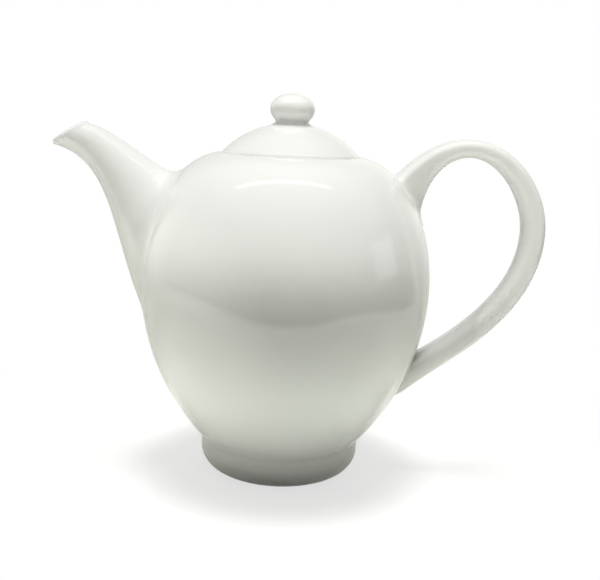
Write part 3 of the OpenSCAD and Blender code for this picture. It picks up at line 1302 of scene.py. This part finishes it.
@dataclass(frozen=True)
class Infuser:
    """The steel basket: pressed rim, perforated wall and perforated base."""

    ledge_z: float = 143.8
    rim_t: float = 0.8
    rim_r: float = 30.4
    collar_r: float = 24.86
    collar_h: float = 5.0
    collar_t: float = 0.7
    wall_r: float = 24.8
    sheet: float = 0.5
    base_z: float = 65.8
    base_edge: float = 5.0
    hole_r: float = 1.0
    rows: int = 11
    count: int = 28
    pitch: float = 5.0
    base_hole_r: float = 1.1
    base_pitch: float = 4.6
    base_rings: int = 4
    base_gap: float = 0.06
    base_bend: float = 1.0
    first_row: float = 4.0
    rim_steps: int = 128
    base_steps: int = 96

    @staticmethod
    def cell(form: Form, hole: float, border: Sequence[tuple[float, float]]) -> list[bmesh.types.BMVert]:
        """Make a flat cell with a round hole.

        Args:
            form: mesh that gets the cell.
            hole: radius of the hole.
            border: points of the cell's outer edge, in turn from angle 0.

        Returns:
            The cell's vertices.
        """
        turns = [2.0 * math.pi * k / len(border) for k in range(len(border))]
        form.start_ring([Vector((math.cos(turn), math.sin(turn), 0.0)) * hole for turn in turns])
        verts = list(form.ring)
        form.next_ring([Vector((x, y, 0.0)) for x, y in border])
        return verts + form.ring

    @staticmethod
    def repeat(
        form: Form, verts: Sequence[bmesh.types.BMVert], places: Iterable[tuple[float, float]]
    ) -> None:
        """Copy a cell to several places and take the first one away.

        Args:
            form: mesh that holds the cell.
            verts: the cell's vertices.
            places: how far each copy is moved, as (x, y).
        """
        geom = list(verts)
        for vert in verts:
            geom += [*vert.link_edges, *vert.link_faces]
        geom = list(dict.fromkeys(geom))
        for x, y in places:
            made = bmesh.ops.duplicate(form.bm, geom=geom)["geom"]
            fresh = [item for item in made if isinstance(item, bmesh.types.BMVert)]
            bmesh.ops.translate(form.bm, vec=(x, y, 0.0), verts=fresh)
        bmesh.ops.delete(form.bm, geom=list(verts), context="VERTS")
        bmesh.ops.remove_doubles(form.bm, verts=form.bm.verts, dist=0.002)

    def thicken(self, form: Form) -> None:
        """Give a sheet its thickness, inwards from its outer skin."""
        bmesh.ops.recalc_face_normals(form.bm, faces=form.bm.faces)
        bmesh.ops.solidify(form.bm, geom=form.bm.faces[:], thickness=self.sheet)

    def rim(self) -> None:
        """Make the rim that hangs on the ledge."""
        top = self.ledge_z + self.rim_t
        out = self.collar_r + self.collar_t
        piece = Form().turn([
            Corner(self.collar_r, self.ledge_z - self.collar_h, 0.2),
            Corner(out, self.ledge_z - self.collar_h, 0.2),
            Corner(out, self.ledge_z, 0.3),
            Corner(self.rim_r, self.ledge_z, 0.3),
            Corner(self.rim_r, top, 0.36),
            Corner(self.collar_r, top, 0.7),
        ], self.rim_steps).finish("Infuser_rim")
        finish = Steel(brushing=Brushing.ACROSS).material("Steel rim")
        settle(piece, Body.INFUSER, Slot.STEEL, finish, "infuser_rim")

    def wall(self) -> None:
        """Make the wall as a flat punched sheet and roll it up."""
        form = Form()
        wide = 2.0 * math.pi * self.wall_r / self.count
        w, h = wide / 2.0, self.pitch / 2.0
        quarter = [(1, 0), (1, 0.5), (1, 1), (0.5, 1), (0, 1), (-0.5, 1), (-1, 1), (-1, 0.5)]
        frame_points = [(w * x, h * y) for x, y in quarter] + [(-w * x, -h * y) for x, y in quarter]
        verts = self.cell(form, self.hole_r, frame_points)
        first = self.base_z + self.base_edge + self.hole_r + self.first_row
        self.repeat(form, verts, (
            (wide * (i + 0.5 * (row % 2)), first + row * self.pitch)
            for row in range(self.rows) for i in range(self.count)
        ))
        top, low = self.ledge_z + self.rim_t - 0.1, self.base_z
        high_row, low_row = first + (self.rows - 0.5) * self.pitch, first - 0.5 * self.pitch
        for edge_z, end_z in ((high_row, top), (low_row, low)):
            edges = [e for e in form.bm.edges
                     if e.is_boundary and all(abs(v.co.y - edge_z) < 0.01 for v in e.verts)]
            made = bmesh.ops.extrude_edge_only(form.bm, edges=edges)["geom"]
            fresh = [item for item in made if isinstance(item, bmesh.types.BMVert)]
            bmesh.ops.translate(form.bm, vec=(0.0, end_z - edge_z, 0.0), verts=fresh)
        for vert in form.bm.verts:
            turn = vert.co.x / self.wall_r
            vert.co = Vector((self.wall_r * math.cos(turn), self.wall_r * math.sin(turn), vert.co.y))
        bmesh.ops.remove_doubles(form.bm, verts=form.bm.verts, dist=0.01)
        self.thicken(form)
        piece = form.finish("Infuser_wall", 35.0)
        settle(piece, Body.INFUSER, Slot.STEEL, Steel().material("Steel wall"), "infuser_wall")

    def base(self) -> None:
        """Make the base as a flat punched disc with its edge turned up."""
        form = Form()
        reach = self.base_pitch / math.sqrt(3.0)
        points = []
        for k in range(12):
            far = reach if k % 2 else self.base_pitch / 2.0
            angle = math.radians(30.0 * k)
            points.append((far * math.cos(angle), far * math.sin(angle)))
        verts = self.cell(form, self.base_hole_r, points)
        n = self.base_rings
        self.repeat(form, verts, (
            (self.base_pitch * (q + r / 2.0), self.base_pitch * r * math.sqrt(3.0) / 2.0)
            for q in range(-n, n + 1) for r in range(max(-n, -q - n), min(n, -q + n) + 1)
        ))
        limit = (n + 0.35) * self.base_pitch * math.sqrt(3.0) / 2.0
        border = [e for e in form.bm.edges if e.is_boundary and all(v.co.length > limit for v in e.verts)]
        edge_r = self.wall_r - self.sheet - self.base_gap
        flat_r = edge_r - self.base_bend
        angles = [2.0 * math.pi * k / self.base_steps for k in range(self.base_steps)]
        form.start_ring([Vector((math.cos(a), math.sin(a), 0.0)) * flat_r for a in angles])
        bmesh.ops.triangle_fill(form.bm, edges=border + form.ring_edges(form.ring), use_beauty=True)
        turns = [math.radians(22.5 * i) for i in range(1, 5)]
        bend = [(math.sin(turn), 1.0 - math.cos(turn)) for turn in turns]
        rises = [(flat_r + self.base_bend * out, self.base_bend * up) for out, up in bend]
        for radius, rise in rises + [(edge_r, self.base_edge)]:
            form.next_ring([Vector((radius * math.cos(a), radius * math.sin(a), rise)) for a in angles])
        bmesh.ops.translate(form.bm, vec=(0.0, 0.0, self.base_z), verts=form.bm.verts)
        self.thicken(form)
        piece = form.finish("Infuser_base", 35.0)
        finish = Steel(brushing=Brushing.ACROSS).material("Steel base")
        settle(piece, Body.INFUSER, Slot.STEEL, finish, "infuser_base")

    def build(self) -> None:
        """Make the three steel pieces."""
        self.rim()
        self.wall()
        self.base()


# Studio


def sight(azimuth: float, height: float) -> tuple[Vector, Vector]:
    """Look at the object from a side.

    Args:
        azimuth: side in degrees, 0 in front and 90 at the handle.
        height: degrees above the level.

    Returns:
        The direction to the right, and the one ahead.
    """
    turn, rise = math.radians(azimuth), math.radians(height)
    right = Vector((math.cos(turn), math.sin(turn), 0.0))
    level = Vector((-math.sin(turn), math.cos(turn), 0.0))
    return right, level * math.cos(rise) - Vector((0.0, 0.0, math.sin(rise)))


@dataclass(frozen=True)
class Glow:
    """A soft patch of light in the room around the scene, by its direction in degrees."""

    azimuth: float
    height: float
    colour: tuple[float, float, float]
    tightness: float = 8.0


@dataclass(frozen=True)
class Beam:
    """A lamp in front, flagged off along a soft straight edge that passes through a point."""

    azimuth: float
    height: float
    level: float
    edge: tuple[float, float, float]
    roll: float = 0.0
    blur: float = 0.032
    reach: float = 1.8
    half_angle: float = 25.0


@dataclass(frozen=True)
class Panel:
    """A flat lamp that the glaze mirrors, with its size and place in metres and its power in watts."""

    name: str
    size: tuple[float, float]
    power: float
    spot: tuple[float, float, float]
    aim: tuple[float, float, float]


@dataclass(frozen=True)
class Patch:
    """A round patch of the board by its radius and soft edge in metres."""

    radius: float
    blur: float

    def share(self, away: Wire) -> Wire:
        """Give 1 inside the patch and 0 outside, from the distance to its middle."""
        return away.below(self.radius, self.blur)


@dataclass(frozen=True)
class Studio:
    """White board, soft light from above and in front, a dim room and the camera."""

    board: tuple[float, float, float] = (0.925, 0.94, 0.88)
    # shaded with the near patch and near_x: painted shade, a dark patch of the board under the pot
    shaded: tuple[float, float, float] = (0.06, 0.063, 0.05)
    front: tuple[float, float, float] = (0.86, 0.875, 0.81)
    # behind: painted shade, the board darker behind the pot for rays other than the camera's
    behind: tuple[float, float, float] = (0.52, 0.53, 0.48)
    near: Patch = Patch(0.063, 0.012)
    near_x: float = 0.01
    # The fill patch, hole and level: painted light, a glow of the board around the pot
    painted_fill_light: Patch = Patch(0.115, 0.055)
    painted_fill_hole: Patch = Patch(0.068, 0.01)
    painted_fill_level: float = 0.3
    shadow: Patch = Patch(0.15, 0.07)
    shadow_share: float = 0.3
    front_end: float = 0.02
    front_blur: float = 0.05
    board_left: float = -0.6
    board_right: float = 0.42
    board_front: float = -0.29
    board_back: float = 0.5
    corner: float = 0.2
    overhead: float = 1.0
    overhead_spread: float = 24.0
    warm: tuple[float, float, float] = (1.0, 0.99, 0.95)
    room: tuple[float, float, float] = (0.03, 0.032, 0.024)
    glows: tuple[Glow, ...] = (
        Glow(145.0, 8.0, (0.7, 0.7, 0.66)),
        Glow(180.0, 8.0, (0.6, 0.6, 0.58)),
        Glow(235.0, 8.0, (0.95, 0.95, 0.89)),
    )
    beams: tuple[Beam, ...] = (
        Beam(0.0, 20.0, 0.22, (0.0, -0.066, 0.083)),
        Beam(-45.0, 20.0, 0.17, (-0.047, -0.047, 0.083)),
        Beam(45.0, 20.0, 0.14, (0.047, -0.047, 0.083)),
        Beam(-50.0, 20.0, 0.16, (-0.051, -0.042, 0.138), 180.0, 0.025, half_angle=1.75),
        Beam(-15.0, 10.0, 0.1, (0.055, 0.0, 0.09), 90.0, 0.02),
        Beam(0.0, 20.0, 0.17, (0.0, -0.01, 0.158), 0.0, 0.014),
    )
    lamp_r: float = 0.005
    panels: tuple[Panel, ...] = (
        Panel("Tube", (1.1, 0.08), 0.45, (-0.1, -0.09, 1.1), (0.0, 0.01, -1.0)),
        Panel("Window", (0.6, 0.5), 0.7, (1.5, -0.2, 0.37), (-1.5, 0.2, -0.25)),
    )
    eye: tuple[float, float, float] = (0.0, -0.4004, 0.1645)
    eye_yaw: float = 0.98
    eye_pitch: float = 11.23
    eye_roll: float = 2.56
    film_w: float = 36.0
    lens: float = 52.71

    def floor(self) -> None:
        """Lay the white board, with its two front corners rounded."""
        form = Form()
        bmesh.ops.create_grid(form.bm, x_segments=1, y_segments=1, size=1.0)
        for vert in form.bm.verts:
            vert.co.x = (self.board_left if vert.co.x < 0.0 else self.board_right) * PER_M
            vert.co.y = (self.board_front if vert.co.y < 0.0 else self.board_back) * PER_M
        front = [vert for vert in form.bm.verts if vert.co.y < 0.0]
        bmesh.ops.bevel(
            form.bm, geom=front, offset=self.corner * PER_M, offset_type="OFFSET", segments=12,
            profile=0.5, affect="VERTICES", material=-1,
        )
        floor = form.finish("Floor")
        made = bpy.data.materials.new("White board")
        sh = Shader(made)
        x, y, _ = sh.parts(sh.place())
        away = (x * x + y * y) ** 0.5
        seen = sh.node("ShaderNodeLightPath", {}, {}, "Is Camera Ray")
        mirrored = seen.sibling("Is Glossy Ray")
        # Painted shade: a dark patch of the board under the pot, seen by diffuse bounce rays only, stands
        # in for its contact shadow
        aside = x - self.near_x
        near = self.near.share((aside * aside + y * y) ** 0.5) * (1.0 - mirrored)
        # Painted shade: the board is darker behind the pot for all rays but the camera's
        spread = sh.blend(y.below(self.front_end, self.front_blur), self.behind, self.front)
        felt = sh.blend(near, spread, self.shaded)
        tone = sh.blend(seen, felt, self.board)
        lit = sh.node("ShaderNodeBsdfDiffuse", {}, {"Color": tone})
        # Painted light: the board glows in a ring around the pot to lighten its shadow, though it is no
        # lamp
        painted_fill_light = self.painted_fill_light.share(away) * self.painted_fill_level
        edge = 1.0 - self.painted_fill_hole.share(away) * (1.0 - mirrored)
        glow = sh.node("ShaderNodeEmission", {}, {"Color": (*self.board, 1.0), "Strength": edge * painted_fill_light})
        paper = sh.node("ShaderNodeAddShader", {}, {0: lit, 1: glow})
        white = sh.node("ShaderNodeEmission", {}, {"Color": (1.0, 1.0, 1.0, 1.0), "Strength": 1.0})
        far = 1.0 - self.shadow.share(away) * self.shadow_share
        mixed = sh.node("ShaderNodeMixShader", {}, {0: far * seen, 1: paper, 2: white})
        sh.node("ShaderNodeOutputMaterial", {}, {"Surface": mixed})
        floor.data.materials.append(made)

    def world(self) -> None:
        """Light the scene from a dim room with a pale backdrop, and show white behind the object."""
        world = bpy.data.worlds.new("Studio")
        bpy.context.scene.world = world
        sh = Shader(world)
        view = sh.node("ShaderNodeTexCoord", {}, {}, "Generated")
        lit: Any = (*self.room, 1.0)
        for glow in self.glows:
            pair = {0: view, 1: -sight(glow.azimuth, glow.height)[1]}
            facing = sh.node("ShaderNodeVectorMath", {"operation": "DOT_PRODUCT"}, pair, "Value")
            closeness = (facing - 1.0) * glow.tightness
            share = sh.node("ShaderNodeMath", {"operation": "EXPONENT"}, {0: closeness})
            adding = {"data_type": "RGBA", "blend_type": "ADD"}
            lit = sh.node("ShaderNodeMix", adding, {0: share, 6: lit, 7: (*glow.colour, 1.0)}, 2)
        seen = sh.node("ShaderNodeLightPath", {}, {}, "Is Camera Ray")
        through = seen.sibling("Is Transmission Ray")
        shade = sh.node("ShaderNodeBackground", {}, {"Color": lit, "Strength": 1.0})
        white = sh.node("ShaderNodeBackground", {}, {"Color": (1.0, 1.0, 1.0, 1.0), "Strength": 1.0})
        mixed = sh.node("ShaderNodeMixShader", {}, {0: seen.at_least(through), 1: shade, 2: white})
        sh.node("ShaderNodeOutputWorld", {}, {"Surface": mixed})

    @staticmethod
    def hang(data: bpy.types.Light, spot: Vector, aim: Vector, mirrored: bool) -> None:
        """Hang a lamp.

        Args:
            data: the lamp's settings.
            spot: where it hangs.
            aim: direction that it points in.
            mirrored: whether it shows in shiny surfaces.
        """
        lamp = bpy.data.objects.new(data.name, data)
        lamp.location = spot
        lamp.rotation_euler = aim.to_track_quat("-Z", "Y").to_euler()
        lamp.visible_glossy = mirrored
        bpy.context.scene.collection.objects.link(lamp)

    def beam(self, name: str, beam: Beam) -> None:
        """Hang a lamp in front that lights only one side of its soft edge.

        Args:
            name: name of the lamp.
            beam: where it hangs and how bright it is.
        """
        half, roll = math.radians(beam.half_angle), math.radians(beam.roll)
        right, ahead = sight(beam.azimuth, beam.height)
        opened = right.cross(ahead) * math.cos(roll) + right * math.sin(roll)
        data = bpy.data.lights.new(name, "SPOT")
        data.color = self.warm
        data.spot_size = 2.0 * half
        data.spot_blend = math.sin(half) * (beam.blur / beam.reach) / (1.0 - math.cos(half))
        data.shadow_soft_size = self.lamp_r
        data.energy = beam.level * (2.0 * math.pi * beam.reach) ** 2
        aim = ahead * math.cos(half) + opened * math.sin(half)
        self.hang(data, Vector(beam.edge) - ahead * beam.reach, aim, False)

    def lamps(self) -> None:
        """Hang the soft overhead light, the lamps in front and the panels that the glaze mirrors."""
        data = bpy.data.lights.new("Overhead", "SUN")
        data.angle = math.radians(self.overhead_spread)
        data.energy = math.pi * self.overhead
        self.hang(data, Vector((0.0, 0.0, 2.0)), Vector((0.0, 0.0, -1.0)), False)
        for i, beam in enumerate(self.beams):
            self.beam(f"Front {i + 1}", beam)
        for panel in self.panels:
            area = bpy.data.lights.new(panel.name, "AREA")
            area.shape = "RECTANGLE"
            area.size, area.size_y = panel.size
            area.energy = panel.power
            self.hang(area, Vector(panel.spot), Vector(panel.aim), True)

    def camera(self) -> None:
        """Stand the camera where the photograph was taken from."""
        roll = math.radians(self.eye_roll)
        right, ahead = sight(-self.eye_yaw, self.eye_pitch)
        up = right.cross(ahead)
        tilted_right = right * math.cos(roll) + up * math.sin(roll)
        tilted_up = up * math.cos(roll) - right * math.sin(roll)
        turn = Matrix((tilted_right, tilted_up, -ahead)).transposed().to_4x4()
        data = bpy.data.cameras.new("Camera")
        data.sensor_fit = "HORIZONTAL"
        data.sensor_width = self.film_w
        data.lens = self.lens
        data.clip_start = 0.01
        camera = bpy.data.objects.new("Camera", data)
        camera.matrix_world = Matrix.Translation(self.eye) @ turn
        bpy.context.scene.collection.objects.link(camera)
        bpy.context.scene.camera = camera

    def build(self) -> None:
        """Set up the whole studio."""
        bpy.context.scene.view_settings.view_transform = "Standard"
        self.floor()
        self.world()
        self.lamps()
        self.camera()


def main() -> None:
    """Build the studio and every piece in order."""
    logging.basicConfig(level=logging.INFO, format="%(name)s: %(message)s")
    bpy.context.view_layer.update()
    Studio().build()
    pot = PotBody()
    spout = Spout(pot)
    pot.build(spout.strain_z())
    spout.build()
    Handle(pot).build()
    Lid().build()
    Infuser().build()


if __name__ == "__main__":
    main()
